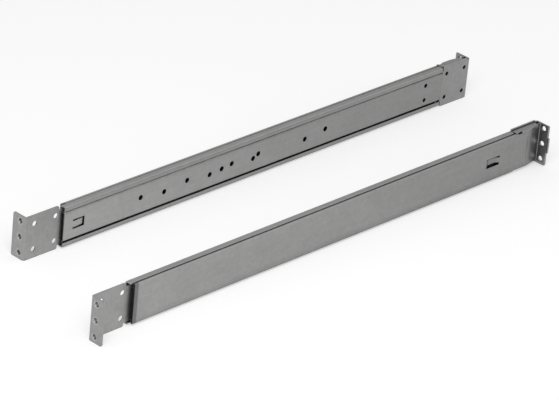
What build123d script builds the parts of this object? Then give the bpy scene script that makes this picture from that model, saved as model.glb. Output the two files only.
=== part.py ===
from build123d import *
import os

# A pair of sliding server rails, each with a ball-bearing slide and a rear end that telescopes to rack depth.
# Millimetres. X runs from the rack's front to its rear, Y across the rack, Z up. The left rail is at +Y.
# One rail is drawn by station (X from its front face), depth (from its server side outwards) and height.

# Overall sizes of one rail and how the pair stands
overall_length = 585.0
plate_height = 43.5
rail_height = 41.0
member_depth = 6.3
channel_front = 44.0
rear_plate_length = 40.0
server_side_spacing = 131.0
right_rail_lead = 49.0

# Sheets and running clearances
member_sheet = 1.2
member_bend = 1.0
bracket_sheet = 1.5
tray_sheet = 0.8
runner_sheet = 0.7
cage_sheet = 0.5
tray_clearance = 0.8
wing_clearance = 0.12
wing_end_clearance = 0.5
ball_clearance = 0.3
seam_gap = 0.3

# Ball slide
lip_height = 4.5
crease_height = 13.3
web_setback = 0.1
track_height = 15.6
track_depth = 2.1
track_width = 1.2
track_bend = 1.0
ball_diameter = 2.5
ball_depth = 2.9
ball_pitch = 11.0
balls_in_row = 8
pocket_clearance = 0.25
cage_length = 96.0
cage_edge_depth = 1.8
cage_web_depth = 4.7
cage_bend = 0.5

# Stop and catch of the chassis member
stop_width = 8.0
stop_clearance = 0.25
stop_gap = 0.3
catch_start = 55.0
catch_length = 14.0
catch_height = 9.6
catch_slit = 1.6
catch_lift = 0.9
catch_ramp = 2.0

# Holes of the chassis member: stations in the upper, lower and middle rows, and the pair at the rear
chassis_hole_diameter = 5.2
rear_pair_diameter = 4.4
hole_row_height = 1.5
upper_row = (139.0, 198.0, 256.0, 291.0, 381.5)
lower_row = (169.0, 227.5, 284.5, 354.0)
middle_row = (243.0,)
rear_pair_setback = 63.0
rear_pair_spacing = 15.5

# Brackets
rack_hole_pitch = 15.875
rack_hole_depth = 10.9
front_rack_hole_diameter = 4.2
rear_rack_hole_diameter = 5.0
rack_entry_radius = 1.3
rack_collar_diameter = 7.4
rack_collar_length = 2.5
rack_clearance_diameter = 6.4
front_plate_length = 40.0
front_flange_edge = 20.3
rear_plate_depth = 0.2
rear_flange_edge = 18.5
rear_tab_height = 15.5
rear_tab_proud = 1.5
bend_radius = 0.8
corner_radius = 1.8
rear_corner_radius = 1.5
plate_hole_spacing = 25.4
front_plate_hole_diameter = 5.4
front_plate_hole_station = 11.2
rear_plate_hole_diameter = 4.3
rear_plate_hole_setback = 33.2
neck_height = 36.0
tongue_end = 72.2
relief_width = 2.2
relief_height = 2.0
flange_drop = 1.5
shoulder_height = 16.6
shoulder_gap = 1.0

# Rivets
rivet_diameter = 3.0
rivet_head_diameter = 5.4
rivet_head_height = 0.8
bracket_rivet_setback = 5.0
bracket_rivet_pitch = 11.0
bracket_rivet_spacing = 14.0
runner_rivets_in_row = 4
runner_rivet_margin = 18.0

# Runner on the back of the channel
runner_start = 86.0
runner_setback = 41.0
runner_base_height = 19.0
runner_step = 2.0

# Rear arm: the tray that slides on the runner, its pressed panel, bridge, tail and flange
back_cut_length = 6.0
tray_height = 40.0
tray_front = 46.8
tray_edge_setback = 39.0
tray_lip_height = 4.5
tray_bend = 0.8
panel_rise = 0.4
panel_margin = 4.5
panel_slope = 1.4
panel_border = 5.0
panel_setback = 22.0
bridge_setback = 80.0
bridge_length = 18.0
bridge_height = 5.2
bridge_slit = 2.2
bridge_ramp = 4.0
bridge_press = 2.2
tail_above_hole = 4.7
tail_below_hole = 3.1
tail_slope_setback = 19.0
tail_slope_depth = 3.5
tail_bend = 25.0
tail_lip_depth = 5.3
tail_lip_setback = 7.0
tail_lip_rounding = 0.6
tail_slot_gap = 1.5
tail_slot_length = 6.0
tail_slot_height = 1.6

# Sizes that follow from those above
middle = plate_height / 2
channel_rear = overall_length - rear_plate_length
cavity_height = rail_height / 2 - member_sheet
back_inner = member_depth - member_sheet
lip_edge = rail_height / 2 - lip_height
track_face = track_height + member_sheet / 2
ball_height = cavity_height - ball_clearance - ball_diameter / 2
cage_outer = cage_web_depth + cage_sheet / 2
chassis_web_depth = web_setback + member_sheet / 2
chassis_inner = web_setback + member_sheet
tongue_depth = back_inner - bracket_sheet
cage_front_limit = tongue_end + stop_gap
slide_travel = channel_rear - member_sheet - stop_gap - cage_length - cage_front_limit
cage_start = cage_front_limit + slide_travel / 2
rear_pair_station = overall_length - rear_pair_setback
rear_plate_hole_station = overall_length - rear_plate_hole_setback
runner_end = channel_rear - runner_setback
runner_height = tray_height - 2 * tray_sheet - 2 * wing_end_clearance
tray_edge_end = overall_length - tray_edge_setback
panel_front = tray_front + panel_border
panel_rear = overall_length - panel_setback
bridge_start = overall_length - bridge_setback
tail_slope_start = overall_length - tail_slope_setback
tail_top = rack_hole_pitch + tail_above_hole
tail_bottom = rack_hole_pitch + tail_below_hole
tray_lip_depth = member_depth + tray_clearance + tray_sheet / 2
wing_depth = tray_lip_depth + tray_sheet / 2 + wing_clearance + runner_sheet / 2
base_depth = member_depth + runner_sheet / 2
border_depth = wing_depth + runner_sheet / 2 + wing_clearance + tray_sheet / 2
border_inner = border_depth - tray_sheet / 2
border_outer = border_depth + tray_sheet / 2
panel_outer = border_outer + panel_rise
tray_corner = min(tray_bend, 0.49 * (border_depth - tray_lip_depth))
tail_depth = border_depth - tail_slope_depth
tail_lip_end = overall_length - tail_lip_setback
rear_flange_front = overall_length - bracket_sheet
tail_flange_station = rear_flange_front - tray_sheet / 2
tray_flange_edge = rear_flange_edge - rear_tab_proud
rear_plate_start = channel_rear + seam_gap
rack_hole_heights = (-rack_hole_pitch, 0.0, rack_hole_pitch)


def section(points, radii, sheet, start, end):
    """Sheet strip along X whose centre line is given as (depth, height) points."""
    path = FilletPolyline(*points, radius=radii)
    face = Plane.YZ.offset(start) * trace(path, line_width=sheet)
    return extrude(face, amount=end - start)


def folded(points, radii, sheet, height):
    """Sheet strip standing along Z whose centre line is given as (station, depth) points."""
    path = FilletPolyline(*points, radius=radii)
    face = Plane.XY.offset(-height / 2) * trace(path, line_width=sheet)
    return extrude(face, amount=height)


def block(station, depth, height):
    """Block between pairs of stations, depths and heights."""
    size = [pair[1] - pair[0] for pair in (station, depth, height)]
    centre = [(pair[0] + pair[1]) / 2 for pair in (station, depth, height)]
    return Pos(*centre) * Box(*size)


def across(diameter, station, depth, height):
    """Round bar along the depth, for holes and rivet shanks."""
    centre = (station, (depth[0] + depth[1]) / 2, height)
    return Pos(*centre) * Rot(90, 0, 0) * Cylinder(diameter / 2, depth[1] - depth[0])


def round_free_corners(part):
    """Round the two corners at the free edge of a flange."""
    return fillet(part.edges().filter_by(Axis.X).group_by(Axis.Y)[-1], corner_radius)


def along(diameter, station, depth, height):
    """Round bar along X, for the rack holes and their collars."""
    centre = ((station[0] + station[1]) / 2, depth, height)
    return Pos(*centre) * Rot(0, 90, 0) * Cylinder(diameter / 2, station[1] - station[0])


def rack_holes(diameter, station):
    """Three bars on the rack's hole pitch between two stations."""
    return [along(diameter, station, rack_hole_depth, z) for z in rack_hole_heights]


def round_rack_entries(part):
    """Round the front flange's three holes where their screws enter."""
    rims = part.edges().group_by(Axis.X)[0].filter_by(lambda edge: edge.is_closed)
    return fillet(rims, rack_entry_radius)


def plate_holes(diameter, first_station, face_depth):
    """Four holes on a square through a plate."""
    reach = (face_depth - bracket_sheet, face_depth + 2 * bracket_sheet)
    places = [(first_station + dx, dz) for dx in (0, plate_hole_spacing) for dz in (-1, 1)]
    return [across(diameter, x, reach, dz * plate_hole_spacing / 2) for x, dz in places]


def bracket_rivet_places():
    """Station and height of each rivet through the front bracket's tongue."""
    stations = [tongue_end - bracket_rivet_setback - i * bracket_rivet_pitch for i in range(2)]
    return [(x, side * bracket_rivet_spacing / 2) for x in stations for side in (-1, 1)]


def runner_rivet_stations():
    """Stations of the rivets, spaced evenly along the runner."""
    first = runner_start + runner_rivet_margin
    last = runner_end - runner_rivet_margin
    step = (last - first) / (runner_rivets_in_row - 1)
    return [first + i * step for i in range(runner_rivets_in_row)]


def cabinet_member():
    """Fixed channel, open to the server side between its lips, with its back cut away at the front end."""
    lip = member_sheet / 2
    back = member_depth - member_sheet / 2
    wall = (rail_height - member_sheet) / 2
    points = [(lip, -lip_edge), (lip, -wall), (back, -wall), (back, wall), (lip, wall), (lip, lip_edge)]
    part = section(points, member_bend, member_sheet, channel_front, channel_rear)
    reach = (back_inner - member_sheet, member_depth + member_sheet)
    half = cavity_height - member_sheet / 2
    part -= block((channel_front - 1, channel_front + back_cut_length), reach, (-half, half))
    part -= [across(rivet_diameter, x, reach, z) for x, z in bracket_rivet_places()]
    part -= [across(rivet_diameter, x, reach, 0) for x in runner_rivet_stations()]
    return part


def front_bracket():
    """Flange and plate in front of the channel, with a narrower tongue that lies in the channel, riveted to its back."""
    plate = tongue_depth + bracket_sheet / 2
    flange = bracket_sheet / 2
    points = [(flange, front_flange_edge), (flange, plate), (tongue_end, plate)]
    part = round_free_corners(folded(points, bend_radius + bracket_sheet / 2, bracket_sheet, plate_height))
    depths = (0, tongue_depth + 2 * bracket_sheet)
    for side in (-1, 1):
        heights = sorted((side * neck_height / 2, side * plate_height))
        part -= block((front_plate_length, tongue_end + 1), depths, heights)
    part = round_rear_corners(part)
    part += rack_holes(rack_collar_diameter, (flange, bracket_sheet + rack_collar_length))
    part -= rack_holes(front_rack_hole_diameter, (-1, bracket_sheet + rack_collar_length + 1))
    part = round_rack_entries(part)
    part -= plate_holes(front_plate_hole_diameter, front_plate_hole_station, tongue_depth)
    reach = (tongue_depth - 1, member_depth)
    return part - [across(rivet_diameter, x, reach, z) for x, z in bracket_rivet_places()]


def round_rear_corners(part):
    """Round the plate's two corners beside the tongue."""
    near = (front_plate_length - bend_radius / 4, front_plate_length + bend_radius / 4)
    groups = part.edges().filter_by(Axis.Y).filter_by_position(Axis.X, *near).group_by(Axis.Z)
    return fillet(groups[0] + groups[-1], rear_corner_radius)


def front_bracket_rivets():
    """Four rivets through the tongue and the channel's back, with a head at each end."""
    inner = (tongue_depth - rivet_head_height, tongue_depth)
    outer = (member_depth, member_depth + rivet_head_height)
    rivets = []
    for x, z in bracket_rivet_places():
        rivet = across(rivet_diameter, x, (tongue_depth, member_depth), z)
        rivet += across(rivet_head_diameter, x, inner, z)
        rivet += across(rivet_head_diameter, x, outer, z)
        rivets.append(rivet)
    return rivets


def runner():
    """Hat strip on the channel's back whose wings the tray runs on."""
    wing = runner_height / 2
    step = runner_base_height / 2
    points = [(wing_depth, -wing), (wing_depth, -step - runner_step), (base_depth, -step)]
    points += [(base_depth, step), (wing_depth, step + runner_step), (wing_depth, wing)]
    part = section(points, runner_sheet, runner_sheet, runner_start, runner_end)
    reach = (member_depth - 1, wing_depth + 1)
    part -= [across(rivet_diameter, x, reach, 0) for x in runner_rivet_stations()]
    return part


def runner_rivets():
    """Rivets that hold the runner to the channel, flush inside the channel."""
    seat = member_depth + runner_sheet
    rivets = []
    for x in runner_rivet_stations():
        shank = across(rivet_diameter, x, (back_inner, seat), 0)
        rivets.append(shank + across(rivet_head_diameter, x, (seat, seat + rivet_head_height), 0))
    return rivets


def chassis_member():
    """Sliding member: flat web, edges set back as ball tracks, screw holes, catch and rear stop."""
    web = chassis_web_depth
    far = track_depth + track_width
    points = [(far, -track_height), (track_depth, -track_height), (web, -crease_height)]
    points += [(web, crease_height), (track_depth, track_height), (far, track_height)]
    part = section(points, track_bend, member_sheet, channel_front, channel_rear)
    reach = (-1, chassis_inner + 1)
    rows = [(x, hole_row_height) for x in upper_row]
    rows += [(x, -hole_row_height) for x in lower_row]
    rows += [(x, 0) for x in middle_row]
    part -= [across(chassis_hole_diameter, x, reach, z) for x, z in rows]
    pair = [side * rear_pair_spacing / 2 for side in (-1, 1)]
    part -= [across(rear_pair_diameter, rear_pair_station, reach, z) for z in pair]
    half = catch_height / 2
    part -= block((catch_start, catch_start + catch_length), reach, (-half, half))
    leaf_end = catch_start + catch_length - catch_slit
    leaf = [(catch_start - catch_ramp, web), (catch_start + catch_ramp, web), (leaf_end, web + catch_lift)]
    part += folded(leaf, 0.0, member_sheet, catch_height - 2 * catch_slit)
    stop_half = stop_width / 2
    stop_outer = back_inner - stop_clearance
    part += block((channel_rear - member_sheet, channel_rear), (web, stop_outer), (-stop_half, stop_half))
    return part


def ball_stations():
    """Stations of the balls, centred in the cage."""
    first = cage_start + (cage_length - (balls_in_row - 1) * ball_pitch) / 2
    return [first + i * ball_pitch for i in range(balls_in_row)]


def ball_cage():
    """Cage strip with a pocketed flange above and below."""
    points = [(cage_edge_depth, -ball_height), (cage_web_depth, -ball_height)]
    points += [(cage_web_depth, ball_height), (cage_edge_depth, ball_height)]
    part = section(points, cage_bend, cage_sheet, cage_start, cage_start + cage_length)
    pocket = Cylinder(ball_diameter / 2 + pocket_clearance, ball_diameter)
    for side in (-1, 1):
        part -= [Pos(x, ball_depth, side * ball_height) * pocket for x in ball_stations()]
    return part


def ball_row(side):
    """Row of balls in the upper or lower track."""
    return [Pos(x, ball_depth, side * ball_height) * Sphere(ball_diameter / 2) for x in ball_stations()]


def rear_arm():
    """Tray along the channel's back, with rolled edges, a pressed panel, a bridge, a tail and a flange."""
    edge = (tray_height - tray_sheet) / 2
    lip_end = tray_height / 2 - tray_lip_height
    points = [(tray_lip_depth, -lip_end), (tray_lip_depth, -edge), (border_depth, -edge)]
    points += [(border_depth, edge), (tray_lip_depth, edge), (tray_lip_depth, lip_end)]
    part = section(points, tray_corner, tray_sheet, tray_front, tray_edge_end)
    part += tail()
    part += panel(border_outer)
    part -= panel(border_inner)
    part = bridge(part)
    return part - rack_holes(rack_clearance_diameter, (tail_flange_station - tray_sheet, tail_flange_station + tray_sheet))


def tail():
    """Strip behind the rolled edges that bends inwards and then out to the flange, with a lip above and below."""
    points = tail_line() + [(tail_flange_station, tray_flange_edge)]
    radii = [tail_bend, bend_radius + tray_sheet]
    strip = Pos(0, 0, (tail_top - tail_bottom) / 2) * folded(points, radii, tray_sheet, tail_top + tail_bottom)
    start = (tray_edge_end - 2 * tray_sheet, tray_edge_end)
    reach = (tail_lip_depth, border_outer + tray_sheet)
    flat = tray_height / 2 - tray_lip_height
    for side, edge in ((-1, tail_bottom), (1, tail_top)):
        strip -= block(start, reach, sorted((side * flat, side * tray_height)))
        lip = sorted((side * edge, side * (edge - tray_sheet)))
        strip -= block((tray_edge_end, tail_lip_end), reach, lip)
        strip += tail_lip(lip[0], side)
    slot_start = tray_edge_end + tail_slot_gap
    slot = (slot_start, slot_start + tail_slot_length)
    corner = (border_outer - tail_slot_height, border_outer + tray_sheet)
    return strip - block(slot, corner, (tail_top - tail_slot_height, tail_top + tray_sheet))


def tail_line():
    """Centre line of the tail in plan, up to its bend into the flange."""
    start = (tray_edge_end - tray_sheet, border_depth)
    return [start, (tail_slope_start, border_depth), (tail_flange_station, tail_depth)]


def tail_lip(bottom, side):
    """Lip that reaches inwards behind the channel's end, rounded along the tail's upper or lower edge."""
    path = FilletPolyline(*tail_line(), radius=tail_bend)
    inner = [(tail_flange_station, tail_lip_depth), (tray_edge_end - tray_sheet, tail_lip_depth)]
    closing = Polyline(path @ 1, *inner, path @ 0)
    plan = make_face(path.edges() + closing.edges()) + trace(path, line_width=tray_sheet)
    lip = extrude(Plane.XY.offset(bottom) * plan, amount=tray_sheet)
    depth = (tail_lip_depth, border_outer + tray_sheet)
    lip &= block((tray_edge_end, tail_lip_end), depth, (bottom, bottom + tray_sheet))
    rim = lip.edges().group_by(Axis.Z)[-1 if side > 0 else 0]
    return fillet(rim.filter_by(Axis.Y, reverse=True).sort_by(Axis.Y)[1:], tail_lip_rounding)


def panel(face_depth):
    """Raised centre of the tray's web, with sloped sides, standing on the face at a depth."""
    length = panel_rear - panel_front
    height = tray_height - 2 * panel_margin
    outward = Plane(((panel_front + panel_rear) / 2, face_depth, 0), x_dir=(1, 0, 0), z_dir=(0, 1, 0))
    base = outward * Rectangle(length, height)
    top = outward.offset(panel_rise) * Rectangle(length - 2 * panel_slope, height - 2 * panel_slope)
    return loft([base, top])


def bridge(part):
    """Cut two slits in the panel and press the strip between them inwards."""
    end = bridge_start + bridge_length
    outer = bridge_height / 2 + bridge_slit
    panel_mid = border_depth + panel_rise
    part -= block((bridge_start, end), (border_inner - 1, panel_outer + 1), (-outer, outer))
    pressed = panel_mid - bridge_press
    root = tray_sheet / 2
    points = [(bridge_start - root, panel_mid), (bridge_start, panel_mid), (bridge_start + bridge_ramp, pressed)]
    points += [(end - bridge_ramp, pressed), (end, panel_mid), (end + root, panel_mid)]
    return part + folded(points, 0.0, tray_sheet, bridge_height)


def rear_bracket():
    """Plate behind the channel's end, its shoulders clear of the lips, with a flange and the tab at its edge."""
    plate = rear_plate_depth + bracket_sheet / 2
    flange = overall_length - bracket_sheet / 2
    points = [(rear_plate_start, plate), (flange, plate), (flange, tray_flange_edge)]
    part = round_free_corners(folded(points, bend_radius + bracket_sheet / 2, bracket_sheet, plate_height))
    top = plate_height / 2
    depths = (rear_plate_depth - 1, rear_plate_depth + bracket_sheet + 1)
    for side in (-1, 1):
        heights = sorted((side * shoulder_height, side * plate_height))
        part -= block((rear_plate_start - 1, rear_plate_start + shoulder_gap), depths, heights)
    part = round_shoulder(part)
    tab_half = rear_tab_height / 2
    tab_depths = (tray_flange_edge - corner_radius, rear_flange_edge)
    part += block((rear_flange_front, overall_length), tab_depths, (-tab_half, tab_half))
    notch_end = rear_flange_front - bend_radius
    part -= block((notch_end - relief_width, notch_end), depths, (top - relief_height, top + 1))
    whole_depth = (rear_plate_depth - 1, rear_flange_edge)
    part -= block((notch_end, overall_length + 1), whole_depth, (top - flange_drop, top + 1))
    part -= rack_holes(rear_rack_hole_diameter, (rear_flange_front - 1, overall_length + 1))
    return part - plate_holes(rear_plate_hole_diameter, rear_plate_hole_station, rear_plate_depth)


def round_shoulder(part):
    """Round the lower corner of the plate beside the channel's lip."""
    near = (rear_plate_start, rear_plate_start + 2 * shoulder_gap)
    groups = part.edges().filter_by(Axis.Y).filter_by_position(Axis.X, *near).group_by(Axis.Z)
    return fillet(groups[0], rear_corner_radius)


def left_side(shape):
    """Put a shape drawn by station, depth and height into the left rail's place."""
    start = -(overall_length - right_rail_lead) / 2
    return Pos(start, server_side_spacing / 2, middle) * shape


def right_side(shape):
    """Mirror a shape across the pair and move it forward into the right rail's place."""
    return Pos(-right_rail_lead, 0, 0) * mirror(left_side(shape), about=Plane.XZ)


def write(name, shape):
    """Write one part of both rails, with groups kept as separate solids."""
    shapes = shape if isinstance(shape, list) else [shape]
    for prefix, place in (("left", left_side), ("right", right_side)):
        placed = [place(item) for item in shapes]
        whole = placed[0] if len(placed) == 1 else Compound(children=placed)
        export_step(whole, f"parts/{prefix}_{name}.step")


os.makedirs("parts", exist_ok=True)
write("cabinet_member", cabinet_member())
write("front_bracket", front_bracket())
write("front_bracket_rivets", front_bracket_rivets())
write("tray_runner", runner())
write("runner_rivets", runner_rivets())
write("chassis_member", chassis_member())
write("ball_cage", ball_cage())
write("upper_balls", ball_row(1))
write("lower_balls", ball_row(-1))
write("rear_arm", rear_arm())
write("rear_bracket", rear_bracket())
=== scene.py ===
import math

import bpy
import numpy as np
from mathutils import Matrix, Vector


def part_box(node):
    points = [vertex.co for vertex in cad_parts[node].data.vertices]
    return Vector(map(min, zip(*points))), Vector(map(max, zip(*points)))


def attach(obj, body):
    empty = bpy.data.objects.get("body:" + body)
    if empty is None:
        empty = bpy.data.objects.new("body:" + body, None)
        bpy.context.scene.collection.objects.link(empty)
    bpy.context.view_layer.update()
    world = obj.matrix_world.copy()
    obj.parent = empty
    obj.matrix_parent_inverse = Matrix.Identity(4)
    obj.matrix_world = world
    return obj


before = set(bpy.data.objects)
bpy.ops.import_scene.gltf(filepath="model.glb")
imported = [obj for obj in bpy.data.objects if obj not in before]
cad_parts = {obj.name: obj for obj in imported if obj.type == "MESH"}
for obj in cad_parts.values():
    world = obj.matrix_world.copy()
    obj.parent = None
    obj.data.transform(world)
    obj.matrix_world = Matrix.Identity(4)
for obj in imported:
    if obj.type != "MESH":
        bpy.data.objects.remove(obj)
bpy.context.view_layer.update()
print("frame loaded:", len(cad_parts), "CAD nodes")


# Small helpers for node trees
def nodeIn(tree, kind, place, **settings):
    node = tree.nodes.new(kind)
    node.location = place
    for name, value in settings.items():
        setattr(node, name, value)
    return node


def join(tree, source, target):
    tree.links.new(source, target)


# A number is set on the socket, and another node's output is joined to it.
def feed(tree, value, socket):
    if isinstance(value, (int, float)):
        socket.default_value = value
    else:
        join(tree, value, socket)


def mathIn(tree, operation, place, *values):
    node = nodeIn(tree, "ShaderNodeMath", place, operation=operation)
    for socket, value in zip(node.inputs, values):
        feed(tree, value, socket)
    return node.outputs[0]


def inverse(tree, place, value):
    return mathIn(tree, "DIVIDE", place, 1.0, value)


def mapped(tree, place, value, source, target=(0.0, 1.0), interpolation="SMOOTHSTEP"):
    node = nodeIn(tree, "ShaderNodeMapRange", place, interpolation_type=interpolation)
    join(tree, value, node.inputs["Value"])
    for label, number in zip(("From Min", "From Max", "To Min", "To Max"), (*source, *target)):
        feed(tree, number, node.inputs[label])
    return node.outputs["Result"]


def mixIn(tree, place, factor, first, second):
    node = nodeIn(tree, "ShaderNodeMix", place, data_type="FLOAT")
    for label, value in (("Factor", factor), ("A", first), ("B", second)):
        feed(tree, value, node.inputs[label])
    return node.outputs["Result"]


def noiseIn(tree, place, vector, scale, **settings):
    node = nodeIn(tree, "ShaderNodeTexNoise", place)
    join(tree, vector, node.inputs["Vector"])
    feed(tree, scale, node.inputs["Scale"])
    for label, value in settings.items():
        node.inputs[label].default_value = value
    return node


def objectCoords(tree):
    return nodeIn(tree, "ShaderNodeTexCoord", (-1400, 300)).outputs["Object"]


def faceNormal(tree):
    return nodeIn(tree, "ShaderNodeNewGeometry", (-1400, -300)).outputs["Normal"]


def splitVector(tree, place, vector):
    node = nodeIn(tree, "ShaderNodeSeparateXYZ", place)
    join(tree, vector, node.inputs[0])
    return node.outputs


# Inputs are numbers with their defaults, and outputs are numbers or vectors.
def newGroup(name, inputs, outputs):
    tree = bpy.data.node_groups.new(name, "ShaderNodeTree")
    for label, value in inputs.items():
        socket = tree.interface.new_socket(label, in_out="INPUT", socket_type="NodeSocketFloat")
        socket.default_value = value
    for label, kind in outputs.items():
        tree.interface.new_socket(label, in_out="OUTPUT", socket_type=f"NodeSocket{kind}")
    start = nodeIn(tree, "NodeGroupInput", (-1200, 0))
    end = nodeIn(tree, "NodeGroupOutput", (900, 0))
    return tree, start.outputs, end.inputs


# Surface effects shared by the materials, each a node group with its own values above it, lengths
# in metres
grainLook = dict(width=0.001, length=0.05, detail=4.0, roughness=0.6, turn=(0.4, 0.7))


# Fine lines left by rolling: noise drawn out along X, and along Y on the faces that look along X.
# Upright turns them along Z, for blanks cut across the strip.
def rollingGrain():
    tree, start, end = newGroup(
        "rollingGrain",
        {"Grain Width": grainLook["width"], "Grain Length": grainLook["length"], "Upright": 0.0},
        {"Lines": "Float"},
    )
    coords = objectCoords(tree)
    across = inverse(tree, (-1000, 0), start["Grain Width"])
    along = inverse(tree, (-1000, -150), start["Grain Length"])
    layers = []
    for axis in range(3):
        row = 200 - 300 * axis
        scale = nodeIn(tree, "ShaderNodeCombineXYZ", (-800, row))
        for index, socket in enumerate(scale.inputs):
            join(tree, along if index == axis else across, socket)
        drawn = nodeIn(tree, "ShaderNodeVectorMath", (-600, row), operation="MULTIPLY")
        join(tree, coords, drawn.inputs[0])
        join(tree, scale.outputs[0], drawn.inputs[1])
        noise = noiseIn(tree, (-400, row), drawn.outputs[0], 1.0,
                        Detail=grainLook["detail"], Roughness=grainLook["roughness"])
        layers.append(noise.outputs["Fac"])
    facing = splitVector(tree, (-1000, -300), faceNormal(tree))
    side = mathIn(tree, "ABSOLUTE", (-800, -500), facing["X"])
    turned = mapped(tree, (-400, -500), side, grainLook["turn"])
    level = mixIn(tree, (0, 0), turned, layers[0], layers[1])
    join(tree, mixIn(tree, (300, 0), start["Upright"], level, layers[2]), end["Lines"])
    return tree


# the last span along X is where the painted light fades from the front end to the rear
platingLook = dict(cloudSize=0.03, detail=4.0, cellSize=0.0035, warpScale=400.0, warpReach=0.0015,
                   paintedLightSpan=(-0.27, 0.27))


# Uneven plating: slow noise for clouds and flat random cells for the zinc's faint spangle, with painted
# light that goes from 1 at the front end to 0 at the rear, so the front is lighter and the rear darker.
def platingCloudsAndPaintedLight():
    tree, start, end = newGroup(
        "platingCloudsAndPaintedLight",
        {"Cloud Size": platingLook["cloudSize"], "Cell Size": platingLook["cellSize"]},
        {"Clouds": "Float", "Spangle": "Float", "Coat": "Float"},
    )
    coords = objectCoords(tree)
    cloudScale = inverse(tree, (-700, 200), start["Cloud Size"])
    cloud = noiseIn(tree, (-400, 200), coords, cloudScale, Detail=platingLook["detail"])
    warp = noiseIn(tree, (-900, -300), coords, platingLook["warpScale"])
    push = nodeIn(tree, "ShaderNodeVectorMath", (-700, -300), operation="MULTIPLY_ADD")
    join(tree, warp.outputs["Color"], push.inputs[0])
    push.inputs[1].default_value = (platingLook["warpReach"],) * 3
    join(tree, coords, push.inputs[2])
    cells = nodeIn(tree, "ShaderNodeTexVoronoi", (-400, -200))
    join(tree, push.outputs[0], cells.inputs["Vector"])
    join(tree, inverse(tree, (-700, -100), start["Cell Size"]), cells.inputs["Scale"])
    shade = nodeIn(tree, "ShaderNodeSeparateColor", (-100, -200))
    join(tree, cells.outputs["Color"], shade.inputs[0])
    station = splitVector(tree, (-700, 400), coords)["X"]
    join(tree, cloud.outputs["Fac"], end["Clouds"])
    join(tree, shade.outputs[0], end["Spangle"])
    paintedLight = mapped(tree, (-400, 500), station, platingLook["paintedLightSpan"], (1.0, 0.0), "LINEAR")
    join(tree, paintedLight, end["Coat"])
    return tree


edgeLook = dict(width=0.0004, patchSize=0.006, samples=6, turn=(0.995, 0.85), detail=3.0, patch=(0.35, 0.65),
                least=0.35)


# Bright rubbed edges: how far a rounded normal turns from the true one, broken up by noise.
def wornEdges():
    tree, start, end = newGroup(
        "wornEdges",
        {"Width": edgeLook["width"], "Patch Size": edgeLook["patchSize"]},
        {"Wear": "Float", "Rounded Normal": "Vector"},
    )
    bevel = nodeIn(tree, "ShaderNodeBevel", (-900, -100), samples=edgeLook["samples"])
    join(tree, start["Width"], bevel.inputs["Radius"])
    turn = nodeIn(tree, "ShaderNodeVectorMath", (-600, -200), operation="DOT_PRODUCT")
    join(tree, bevel.outputs[0], turn.inputs[0])
    join(tree, faceNormal(tree), turn.inputs[1])
    edge = mapped(tree, (-400, -200), turn.outputs["Value"], edgeLook["turn"])
    patchScale = inverse(tree, (-900, 200), start["Patch Size"])
    noise = noiseIn(tree, (-600, 200), objectCoords(tree), patchScale, Detail=edgeLook["detail"])
    patch = mapped(tree, (-400, 200), noise.outputs["Fac"], edgeLook["patch"], (edgeLook["least"], 1.0))
    join(tree, mathIn(tree, "MULTIPLY", (0, 0), edge, patch), end["Wear"])
    join(tree, bevel.outputs[0], end["Rounded Normal"])
    return tree


scuffLook = dict(spacing=0.012, amount=0.5, turn=(0.1, 0.35, 0.0), stretch=(0.12, 1.0, 1.0), detail=1.5,
                 halfWidth=0.006, thinScale=55.0, thin=(0.5, 0.68))


# Thin scuffs from handling and sliding: where a turned and drawn-out noise passes its middle value,
# thinned out by a slower noise.
def handlingMarks():
    tree, start, end = newGroup(
        "handlingMarks",
        {"Spacing": scuffLook["spacing"], "Amount": scuffLook["amount"]},
        {"Scuffs": "Float"},
    )
    coords = objectCoords(tree)
    drawn = nodeIn(tree, "ShaderNodeMapping", (-1000, 300))
    drawn.inputs["Rotation"].default_value = scuffLook["turn"]
    drawn.inputs["Scale"].default_value = scuffLook["stretch"]
    join(tree, coords, drawn.inputs["Vector"])
    spacing = inverse(tree, (-1000, 0), start["Spacing"])
    waves = noiseIn(tree, (-700, 300), drawn.outputs[0], spacing, Detail=scuffLook["detail"])
    offset = mathIn(tree, "SUBTRACT", (-500, 300), waves.outputs["Fac"], 0.5)
    away = mathIn(tree, "ABSOLUTE", (-300, 300), offset)
    line = mapped(tree, (-100, 300), away, (0.0, scuffLook["halfWidth"]), (1.0, 0.0))
    thin = noiseIn(tree, (-700, -200), coords, scuffLook["thinScale"])
    kept = mapped(tree, (-300, -200), thin.outputs["Fac"], scuffLook["thin"])
    scuffs = mathIn(tree, "MULTIPLY", (100, 0), line, kept)
    join(tree, mathIn(tree, "MULTIPLY", (200, 0), scuffs, start["Amount"]), end["Scuffs"])
    return tree


# values of the painted shade in seams and hollows, from how little open space a point sees
paintedSeamLook = dict(reach=0.0025, unshadedAbove=0.86, blackBelow=0.40, patchSize=0.010, samples=8, detail=2.0,
                  patch=(0.3, 0.6), least=0.8)


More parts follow.
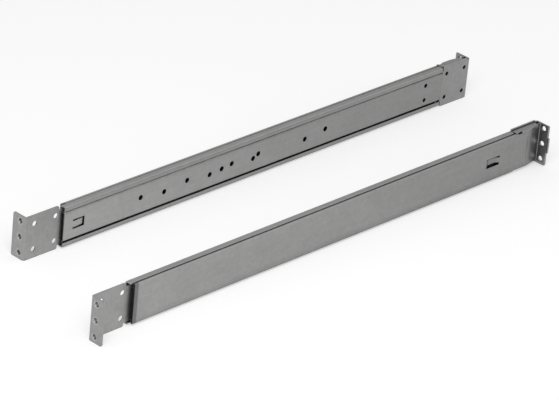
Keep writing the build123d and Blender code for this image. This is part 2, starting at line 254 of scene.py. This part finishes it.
# Painted shade in gaps, slots, bores, corners and near the floor: darker where a point sees little open
# space within a short reach, broken up by noise.
def paintedSeamShade():
    tree, start, end = newGroup(
        "paintedSeamShade",
        {"Reach": paintedSeamLook["reach"], "Unshaded Above": paintedSeamLook["unshadedAbove"],
         "Black Below": paintedSeamLook["blackBelow"], "Patch Size": paintedSeamLook["patchSize"]},
        {"Painted Shade": "Float"},
    )
    openness = nodeIn(tree, "ShaderNodeAmbientOcclusion", (-900, 0), samples=paintedSeamLook["samples"])
    join(tree, start["Reach"], openness.inputs["Distance"])
    depth = mapped(tree, (-600, 0), openness.outputs["AO"], (start["Unshaded Above"], start["Black Below"]))
    patchScale = inverse(tree, (-900, 300), start["Patch Size"])
    noise = noiseIn(tree, (-600, 300), objectCoords(tree), patchScale, Detail=paintedSeamLook["detail"])
    patch = mapped(tree, (-400, 300), noise.outputs["Fac"], paintedSeamLook["patch"], (paintedSeamLook["least"], 1.0))
    join(tree, mathIn(tree, "MULTIPLY", (0, 0), depth, patch), end["Painted Shade"])
    return tree


groups = {
    "grain": rollingGrain(),
    "clouds": platingCloudsAndPaintedLight(),
    "wear": wornEdges(),
    "marks": handlingMarks(),
    "grime": paintedSeamShade(),
}
print("surface effects:", ", ".join(groups))


# Finishes. A shade is how much of the tone an effect may take, and openness is the open space above
# which a point gets no painted shade and the one below which it is painted black.
finishes = {
    "channelZinc": dict(
        tone=0.300, roughness=0.36, edge=0.00025, wearTone=0.42, scuffTone=0.05, upright=0.0,
        grainDepth=0.000004, grainShade=0.24, cloudShade=0.22, spangleShade=0.07, coatShade=0.18,
        reach=0.0035, openness=(0.97, 0.55), paintedShadeShare=0.80,
    ),
    "webZinc": dict(
        tone=0.318, roughness=0.34, edge=0.00030, wearTone=0.32, scuffTone=0.07, upright=0.0,
        grainDepth=0.000004, grainShade=0.22, cloudShade=0.22, spangleShade=0.07, coatShade=0.38,
        reach=0.0045, openness=(0.97, 0.66), paintedShadeShare=0.85,
    ),
    "bracketZinc": dict(
        tone=0.308, roughness=0.40, edge=0.00030, wearTone=0.46, scuffTone=0.05, upright=1.0,
        grainDepth=0.000003, grainShade=0.28, cloudShade=0.24, spangleShade=0.10, coatShade=0.15,
        reach=0.0012, openness=(0.86, 0.40), paintedShadeShare=0.60,
    ),
    "trayZinc": dict(
        tone=0.296, roughness=0.36, edge=0.00020, wearTone=0.36, scuffTone=0.06, upright=0.0,
        grainDepth=0.000004, grainShade=0.22, cloudShade=0.24, spangleShade=0.08, coatShade=0.30,
        # its long reach also paints shade near the floor and into the corner with the flange
        reach=0.0100, openness=(0.95, 0.35), paintedShadeShare=0.52,
        # painted shade band along the tray's front end
        front=dict(shade=0.46, width=0.0042, fade=0.0007),
    ),
    "cageSteel": dict(
        tone=0.36, roughness=0.30, edge=0.00012, wearTone=0.5, scuffTone=0.03, upright=0.0,
        grainDepth=0.000002, grainShade=0.06, cloudShade=0.08, spangleShade=0.02, coatShade=0.0,
        reach=0.0020, openness=(0.86, 0.40), paintedShadeShare=0.60,
    ),
    "rivetSteel": dict(
        tone=0.33, roughness=0.30, edge=0.00025, wearTone=0.5, scuffTone=0.02, upright=0.0,
        grainDepth=0.0000005, grainShade=0.0, cloudShade=0.10, spangleShade=0.03, coatShade=0.0,
        reach=0.0015, openness=(0.86, 0.40), paintedShadeShare=0.60,
    ),
    # dark oiled steel, darker still as painted shade inside the bores
    "oiledAndShadedThread": dict(
        tone=0.16, roughness=0.32, edge=0.00005, wearTone=0.20, scuffTone=0.0, upright=0.0,
        grainDepth=0.0000005, grainShade=0.0, cloudShade=0.10, spangleShade=0.0, coatShade=0.0,
        reach=0.0030, openness=(0.86, 0.40), paintedShadeShare=0.70,
    ),
    # lighter than the flange: screw wear and a painted highlight on the rim
    "wornAndHighlightedRim": dict(
        tone=0.40, roughness=0.28, edge=0.00005, wearTone=0.5, scuffTone=0.0, upright=0.0,
        grainDepth=0.0000005, grainShade=0.0, cloudShade=0.20, spangleShade=0.10, coatShade=0.0,
        reach=0.0010, openness=(0.86, 0.40), paintedShadeShare=0.30,
    ),
}
tint = (1.0, 1.0, 0.992)  # a trace of warmth in the metal
roughShares = dict(clouds=0.10, lines=0.08, grime=0.15)  # what each effect adds to the roughness


def useGroup(tree, group, place, **values):
    node = nodeIn(tree, "ShaderNodeGroup", place, node_tree=groups[group])
    for label, value in values.items():
        node.inputs[label].default_value = value
    return node


# Painted shade along a tray's front end: the share of the tone kept is less within its width behind
# the front end, and all of it further back. The two rails' front ends stand apart along X, and the sign
# of Y tells which rail it is.
def paintedFrontShade(tree, look):
    place = splitVector(tree, (-1200, 700), objectCoords(tree))
    leftEnd, rightEnd = (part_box(f"{side}_rear_arm")[0][0] for side in ("left", "right"))
    onRight = mathIn(tree, "LESS_THAN", (-1000, 800), place["Y"], 0.0)
    frontEnd = mathIn(tree, "MULTIPLY_ADD", (-800, 800), onRight, rightEnd - leftEnd, leftEnd)
    behind = mathIn(tree, "SUBTRACT", (-600, 700), place["X"], frontEnd)
    fade = (look["width"] - look["fade"], look["width"] + look["fade"])
    inPaintedShade = mapped(tree, (-400, 700), behind, fade, (1.0, 0.0))
    return mathIn(tree, "MULTIPLY_ADD", (-200, 700), inPaintedShade, -look["shade"], 1.0)


def zincMaterial(finish, look):
    material = bpy.data.materials.new(finish)
    material.use_nodes = True
    tree = material.node_tree
    tree.nodes.clear()
    output = nodeIn(tree, "ShaderNodeOutputMaterial", (900, 0))
    shader = nodeIn(tree, "ShaderNodeBsdfPrincipled", (600, 0))
    shader.inputs["Metallic"].default_value = 1.0
    lines = useGroup(tree, "grain", (-900, 300), Upright=look["upright"]).outputs["Lines"]
    clouds = useGroup(tree, "clouds", (-900, 0)).outputs
    wear = useGroup(tree, "wear", (-900, -300), Width=look["edge"]).outputs
    scuffs = useGroup(tree, "marks", (-900, -600)).outputs["Scuffs"]
    unshadedAbove, blackBelow = look["openness"]
    paintedSeamInputs = {"Reach": look["reach"], "Unshaded Above": unshadedAbove, "Black Below": blackBelow}
    grime = useGroup(tree, "grime", (-900, -900), **paintedSeamInputs).outputs["Painted Shade"]

    # painted light lifts the tone at the front ends and lowers it towards the rear
    tone = look["tone"]
    effects = ((lines, "grainShade"), (clouds["Clouds"], "cloudShade"), (clouds["Spangle"], "spangleShade"),
               (clouds["Coat"], "coatShade"))
    for index, (mask, name) in enumerate(effects):
        row, share = 300 - 150 * index, look[name]
        shade = mathIn(tree, "MULTIPLY_ADD", (-600, row), mask, share, 1.0 - share / 2)
        tone = mathIn(tree, "MULTIPLY", (-400, row), shade, tone)
    scuffed = mathIn(tree, "MULTIPLY_ADD", (-200, 0), scuffs, look["scuffTone"], tone)
    rubbed = mixIn(tree, (0, 200), wear["Wear"], scuffed, look["wearTone"])
    # painted shade in seams, hollows, corners and near the floor darkens the tone
    paintedShadeFactor = mathIn(tree, "MULTIPLY_ADD", (-200, -400), grime, -look["paintedShadeShare"], 1.0)
    shadedTone = mathIn(tree, "MULTIPLY", (100, 400), rubbed, paintedShadeFactor)
    # painted shade in a band along each tray's front end
    if "front" in look:
        shadedTone = mathIn(tree, "MULTIPLY", (150, 450), shadedTone, paintedFrontShade(tree, look["front"]))
    colour = nodeIn(tree, "ShaderNodeCombineColor", (300, 200))
    for socket, share in zip(colour.inputs, tint):
        join(tree, mathIn(tree, "MULTIPLY", (200, 200), shadedTone, share), socket)
    join(tree, colour.outputs[0], shader.inputs["Base Color"])

    rough = look["roughness"] - roughShares["clouds"] / 2
    masks = {"clouds": clouds["Clouds"], "lines": lines, "grime": grime}
    for column, (name, share) in enumerate(roughShares.items()):
        rough = mathIn(tree, "MULTIPLY_ADD", (150 * column, -100), masks[name], share, rough)
    join(tree, rough, shader.inputs["Roughness"])

    bump = nodeIn(tree, "ShaderNodeBump", (300, -300))
    bump.inputs["Distance"].default_value = look["grainDepth"]
    join(tree, lines, bump.inputs["Height"])
    join(tree, wear["Rounded Normal"], bump.inputs["Normal"])
    join(tree, bump.outputs[0], shader.inputs["Normal"])
    join(tree, shader.outputs[0], output.inputs["Surface"])
    return material


balls = dict(dark=(0.52, 0.53, 0.55, 1), light=(0.60, 0.60, 0.60, 1), cloudSize=0.002, cloudSpan=(0.3, 0.7),
             roughness=(0.08, 0.16), film=0.3, filmRoughness=0.15)


# Polished steel with slow clouds, under a film of grease
def ballMaterial():
    material = bpy.data.materials.new("ballSteel")
    material.use_nodes = True
    tree = material.node_tree
    shader = tree.nodes["Principled BSDF"]
    shader.inputs["Metallic"].default_value = 1.0
    shader.inputs["Coat Weight"].default_value = balls["film"]
    shader.inputs["Coat Roughness"].default_value = balls["filmRoughness"]
    clouds = useGroup(tree, "clouds", (-600, 0), **{"Cloud Size": balls["cloudSize"]}).outputs["Clouds"]
    colour = nodeIn(tree, "ShaderNodeMix", (-300, 0), data_type="RGBA")
    colour.inputs["A"].default_value = balls["dark"]
    colour.inputs["B"].default_value = balls["light"]
    join(tree, clouds, colour.inputs["Factor"])
    join(tree, colour.outputs["Result"], shader.inputs["Base Color"])
    rough = mapped(tree, (-300, -300), clouds, balls["cloudSpan"], balls["roughness"])
    join(tree, rough, shader.inputs["Roughness"])
    return material


materials = {finish: zincMaterial(finish, look) for finish, look in finishes.items()}
materials["ballSteel"] = ballMaterial()
finishOf = {
    "cabinet_member": "channelZinc",
    "front_bracket": "bracketZinc",
    "front_bracket_rivets": "rivetSteel",
    "tray_runner": "channelZinc",
    "runner_rivets": "rivetSteel",
    "chassis_member": "webZinc",
    "ball_cage": "cageSteel",
    "upper_balls": "ballSteel",
    "lower_balls": "ballSteel",
    "rear_arm": "trayZinc",
    "rear_bracket": "bracketZinc",
}
for nodeName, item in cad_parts.items():
    for slot in item.material_slots:
        slot.link = "OBJECT"
        slot.material = materials[finishOf[nodeName.split("_", 1)[1]]]
print("materials:", ", ".join(materials))


# Pieces that the frame leaves to this script. Lengths are in millimetres, by station along a rail
# from its front face, depth from its server side outwards, and height above the floor.
rail = dict(front=-268.0, lead=49.0, side=65.5, middle=21.75)
rackHoles = dict(pitch=15.875, depth=10.9, rows=(-1, 0, 1))


def addPiece(name, points, faces, material, body):
    mesh = bpy.data.meshes.new(name)
    mesh.from_pydata((points / 1000).tolist(), [], faces)  # millimetres to metres
    mesh.update()
    piece = bpy.data.objects.new(name, mesh)
    bpy.context.scene.collection.objects.link(piece)
    piece.data.materials.append(materials[material])
    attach(piece, body)


# One piece with a like part at each rack hole of a flange. All faces have four corners, and each
# part's corners are numbered on from the one before.
def addAtHoles(name, sign, pointsAt, facesFor, material, body):
    y = sign * (rail["side"] + rackHoles["depth"])
    parts = [pointsAt(y, rail["middle"] + row * rackHoles["pitch"]) for row in rackHoles["rows"]]
    size = len(parts[0])
    faces = np.array(facesFor(size)) + size * np.arange(len(parts))[:, None, None]
    addPiece(name, np.concatenate(parts), faces.reshape(-1, 4).tolist(), material, body)


# Faces of a tube of rings, with a cap at each end; rings run so that the faces look outwards.
def tubeFaces(count, corners):
    ring = np.arange(count * corners).reshape(count, corners)
    onward = np.roll(np.arange(corners), -1)
    quads = np.stack([ring[:-1], ring[:-1, onward], ring[1:, onward], ring[1:]], axis=2).reshape(-1, 4)
    return quads.tolist() + [ring[0][::-1].tolist(), ring[-1].tolist()]


# Faces of a closed ring of profiles, one profile for each step of the turn.
def ringFaces(turns, corners):
    grid = np.arange(turns * corners).reshape(turns, corners)
    nextTurn = np.roll(grid, -1, axis=0)
    quads = np.stack([grid, np.roll(grid, -1, axis=1), np.roll(nextTurn, -1, axis=1), nextTurn], axis=2)
    return quads.reshape(-1, 4).tolist()


# Sizes of the ridge are shares of the pitch, apart from sunk, the millimetres that its foot lies in
# the bore's wall, and fade, the angle over which it rises.
threads = {
    "front": dict(bore=2.1, pitch=0.8, start=1.3, length=2.7),
    "rear": dict(bore=2.5, pitch=1.0, start=583.5, length=1.5),
}
threadShape = dict(sunk=0.03, height=0.2, crestWidth=0.16, footWidth=0.72, runIn=0.375, fade=0.9,
                   stepsPerTurn=28, corners=4)


# Helical ridge: the angle runs along it, a profile of four corners moves on by one pitch a turn,
# and the ridge rises from nothing and sinks again at its ends.
def threadPoints(hole, startX, y, z):
    shape = threadShape
    turns = hole["length"] / hole["pitch"] - 2 * shape["runIn"]
    angle = np.linspace(0.0, turns * 2 * math.pi, int(turns * shape["stepsPerTurn"]) + 1)
    rise = np.clip(np.minimum(angle, angle[-1] - angle) / shape["fade"], 0.0, 1.0)
    foot = np.full(angle.size, hole["bore"] + shape["sunk"])
    crest = foot - (shape["sunk"] + shape["height"] * hole["pitch"]) * rise
    radius = np.stack([foot, crest, crest, foot], axis=1)
    widths = np.array([-shape["footWidth"], -shape["crestWidth"], shape["crestWidth"], shape["footWidth"]])
    forward = startX + hole["start"] + hole["pitch"] * (shape["runIn"] + angle / (2 * math.pi))
    x = forward[:, None] + widths * hole["pitch"] / 2
    across, up = (radius * turn(angle)[:, None] for turn in (np.cos, np.sin))
    return np.stack([x, y + across, z + up], axis=2).reshape(-1, 3)


# Threads in dark oiled steel, whose low tone also paints the shade inside the rack holes
def addThreads(side, sign, end, startX, body):
    name = f"{side}{end.capitalize()}Threads"
    corners = threadShape["corners"]
    addAtHoles(name, sign, lambda y, z: threadPoints(threads[end], startX, y, z),
               lambda size: tubeFaces(size // corners, corners), "oiledAndShadedThread", body)


# The skin starts at the outer radius and ends in the bore, last degrees round the entry's rounding.
rims = dict(outer=3.75, last=72.0, bore=2.1, entry=1.3, skin=0.02, steps=7, turnSteps=48)


# Rim rubbed bright by screws and lightened further as a painted highlight: a thin skin on the rounded
# entry of a rack hole. Its profile goes from the flange's face along the rounding and back a little deeper,
# and turns once round the hole.
def rimPoints(startX, y, z):
    slope = np.radians(np.linspace(0.0, rims["last"], rims["steps"]))
    centre = rims["bore"] + rims["entry"]
    arcs = []
    for reach in (rims["entry"] + rims["skin"], rims["entry"] - rims["skin"]):
        arcs.append((centre - reach * np.sin(slope), rims["entry"] - reach * np.cos(slope)))
    (outRadius, outForward), (backRadius, backForward) = arcs
    radius = np.concatenate([[rims["outer"]], outRadius, backRadius[::-1], [rims["outer"]]])
    forward = np.concatenate([[-rims["skin"]], outForward, backForward[::-1], [rims["skin"]]])
    turn = np.linspace(0.0, 2 * math.pi, rims["turnSteps"], endpoint=False)[:, None]
    x = np.broadcast_to(startX + forward, (rims["turnSteps"], radius.size))
    return np.stack([x, y + radius * np.cos(turn), z + radius * np.sin(turn)], axis=2).reshape(-1, 3)


def addRims(side, sign, startX):
    turns = rims["turnSteps"]
    addAtHoles(f"{side}RackHoleRims", sign, lambda y, z: rimPoints(startX, y, z),
               lambda size: ringFaces(turns, size // turns), "wornAndHighlightedRim", "fixed_rails")


tailLips = dict(start=546.0, end=578.0, inner=2.2, outer=5.3, sheet=0.8, top=20.575, bottom=-18.975, steps=9)


# Inner stretch of a tail lip: a flat strip with a half-round inner edge, its profile of angle
# carried along X. The two ends change places on the left rail, so that the faces look outwards
# there too.
def lipPoints(sign, startX, low):
    half = tailLips["sheet"] / 2
    angle = np.linspace(-math.pi / 2, math.pi / 2, tailLips["steps"])
    rounded = tailLips["inner"] + half - half * np.cos(angle)
    depth = np.concatenate([[tailLips["outer"]], rounded, [tailLips["outer"]]])
    height = np.concatenate([[-half], half * np.sin(angle), [half]]) + low + half
    rings = []
    for station in (tailLips["start"], tailLips["end"]):
        x = np.full(depth.size, startX + station)
        rings.append(np.stack([x, sign * (rail["side"] + depth), rail["middle"] + height], axis=1))
    return np.concatenate(rings if sign < 0 else rings[::-1])


def addLips(side, sign, startX, body):
    for label, low in (("Upper", tailLips["top"] - tailLips["sheet"]), ("Lower", tailLips["bottom"])):
        points = lipPoints(sign, startX, low)
        faces = tubeFaces(2, len(points) // 2)
        addPiece(f"{side}{label}TailLip", points, faces, "trayZinc", body)


for side, sign, lead in (("left", 1, 0.0), ("right", -1, rail["lead"])):
    startX = rail["front"] - lead
    addRims(side, sign, startX)
    addThreads(side, sign, "front", startX, "fixed_rails")
    addThreads(side, sign, "rear", startX, f"{side}_rear_end")
    addLips(side, sign, startX, f"{side}_rear_end")
print("rims, threads and tail lips made")


studio = dict(floorSize=12.0, floorTone=0.82, floorGlow=0.445, skyTone=0.55, keyPower=8.0, keySize=1.0,
              keyPlace=(-0.95, -0.65, 1.25), fillPower=10.0, fillSize=2.6, fillPlace=(1.9, -1.6, 1.5))


# 1 where a camera, glossy or transmission ray looks, so that metal shows the same background.
def seenDirectly(tree, place):
    path = nodeIn(tree, "ShaderNodeLightPath", place).outputs
    x, y = place
    both = mathIn(tree, "MAXIMUM", (x + 200, y), path["Is Camera Ray"], path["Is Glossy Ray"])
    return mathIn(tree, "MAXIMUM", (x + 400, y), both, path["Is Transmission Ray"])


def makeFloor():
    half = studio["floorSize"] / 2
    corners = [(-half, -half, 0), (half, -half, 0), (half, half, 0), (-half, half, 0)]
    mesh = bpy.data.meshes.new("studioFloor")
    mesh.from_pydata(corners, [], [(0, 1, 2, 3)])
    floor = bpy.data.objects.new("studioFloor", mesh)
    bpy.context.scene.collection.objects.link(floor)
    material = bpy.data.materials.new("paleFloor")
    material.use_nodes = True
    tree = material.node_tree
    tree.nodes.clear()
    output = nodeIn(tree, "ShaderNodeOutputMaterial", (600, 0))
    matt = nodeIn(tree, "ShaderNodeBsdfDiffuse", (0, 100))
    matt.inputs["Color"].default_value = (studio["floorTone"],) * 3 + (1,)
    glow = nodeIn(tree, "ShaderNodeEmission", (0, -100))
    strength = mathIn(tree, "MULTIPLY", (-200, -100), seenDirectly(tree, (-900, -100)), studio["floorGlow"])
    join(tree, strength, glow.inputs["Strength"])
    total = nodeIn(tree, "ShaderNodeAddShader", (300, 0))
    join(tree, matt.outputs[0], total.inputs[0])
    join(tree, glow.outputs[0], total.inputs[1])
    join(tree, total.outputs[0], output.inputs["Surface"])
    floor.data.materials.append(material)


def makeWorld():
    world = bpy.data.worlds.new("whiteStudio")
    bpy.context.scene.world = world
    world.use_nodes = True
    tree = world.node_tree
    tree.nodes.clear()
    output = nodeIn(tree, "ShaderNodeOutputWorld", (600, 0))
    background = nodeIn(tree, "ShaderNodeBackground", (300, 0))
    seen = seenDirectly(tree, (-900, 0))
    join(tree, mixIn(tree, (0, 0), seen, studio["skyTone"], 1.0), background.inputs["Strength"])
    join(tree, background.outputs[0], output.inputs["Surface"])


def makeLamp(name, power, size, place):
    lamp = bpy.data.lights.new(name, "AREA")
    lamp.energy = power
    lamp.shape = "SQUARE"
    lamp.size = size
    item = bpy.data.objects.new(name, lamp)
    item.location = place
    item.rotation_mode = "QUATERNION"
    item.rotation_quaternion = (-Vector(place)).to_track_quat("-Z", "Y")  # looks at the middle of the floor
    bpy.context.scene.collection.objects.link(item)


makeFloor()
makeWorld()
makeLamp("keyLamp", studio["keyPower"], studio["keySize"], studio["keyPlace"])
makeLamp("fillLamp", studio["fillPower"], studio["fillSize"], studio["fillPlace"])
print("studio lit")


# Camera, found from the photograph's hole centres and edges. Angles are in degrees, lengths in
# metres, the lens in mm.
shot = dict(azimuth=47.82, elevation=27.21, roll=-5.68, distance=3.6, target=(-0.0253, -0.0107, 0.02175),
            lens=252.5, nearest=0.1, farthest=50.0)


def makeCamera():
    azimuth, elevation, roll = (math.radians(shot[key]) for key in ("azimuth", "elevation", "roll"))
    level = Vector((math.cos(azimuth), -math.sin(azimuth), 0.0))
    ahead = Vector((math.sin(azimuth), math.cos(azimuth), 0.0))
    forward = ahead * math.cos(elevation) - Vector((0.0, 0.0, math.sin(elevation)))
    down = forward.cross(level)
    right = level * math.cos(roll) + down * math.sin(roll)
    below = down * math.cos(roll) - level * math.sin(roll)
    turn = Matrix((right, -below, -forward)).transposed().to_4x4()
    data = bpy.data.cameras.new("photoCamera")
    data.lens = shot["lens"]
    data.clip_start = shot["nearest"]
    data.clip_end = shot["farthest"]
    camera = bpy.data.objects.new("photoCamera", data)
    camera.matrix_world = Matrix.Translation(Vector(shot["target"]) - forward * shot["distance"]) @ turn
    bpy.context.scene.collection.objects.link(camera)
    bpy.context.scene.camera = camera


makeCamera()
bpy.context.scene.view_settings.view_transform = "Standard"
